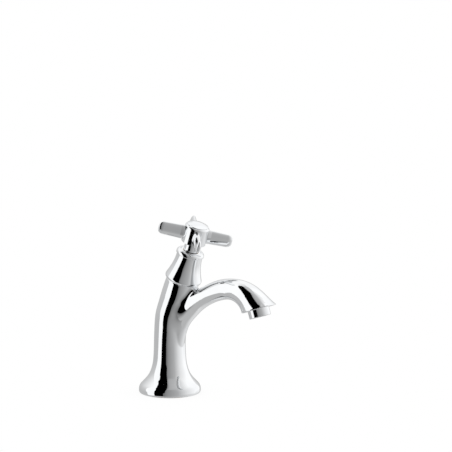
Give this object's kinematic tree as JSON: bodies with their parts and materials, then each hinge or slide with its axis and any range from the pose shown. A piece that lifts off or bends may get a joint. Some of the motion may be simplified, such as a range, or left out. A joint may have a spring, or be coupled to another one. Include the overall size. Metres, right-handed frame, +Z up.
{
  "type": "basin pillar tap",
  "caption": "Chromed basin tap with a round foot, a leaning valve column, an arched spout with a flared outlet, a bell-shaped shroud and a cross handle on a quarter-turn valve.",
  "frame": {"origin": "centre of the foot's underside, on the basin deck", "axes": "+X runs along the spout, away from the basin's back edge, +Z is up, the valve leans towards +X"},
  "size_m": [0.1296, 0.05, 0.185],
  "materials": {
    "chrome": "polished chrome plate",
    "brass": "turned brass",
    "rubber": "moulded rubber",
    "steel": "stamped steel",
    "ceramic": "lapped alumina",
    "fibre": "pressed fibre",
    "plastic": "moulded acetal"
  },
  "bodies": {
    "tap": {"body_casting": "chrome", "base_seal": "rubber", "threaded_tail": "brass", "rubber_washer": "rubber", "clamp_washer": "steel", "backnut": "brass", "bonnet_shroud": "chrome", "shroud_nut": "chrome", "headwork_washer": "fibre", "headwork_body": "brass", "fixed_disc": "ceramic", "headwork_seal": "rubber", "aerator_housing": "chrome", "aerator_insert": "plastic", "aerator_screen": "steel", "aerator_seal": "rubber"},
    "handle": {"spindle": "brass", "spindle_orings": "rubber", "slip_ring": "plastic", "spindle_clip": "steel", "moving_disc": "ceramic", "handle_hub": "chrome", "handle_arm_rear_right": "chrome", "handle_arm_rear_left": "chrome", "handle_arm_front_left": "chrome", "handle_arm_front_right": "chrome", "handle_screw": "steel", "hub_cap": "chrome"}
  },
  "joints": [
    {"name": "handle_turn", "type": "hinge", "parent": "tap", "child": "handle", "pos_m": [0.01379, 0, 0.09383], "axis": [0.3206, 0, 0.9472], "range_deg": [0, 90]}
  ]
}
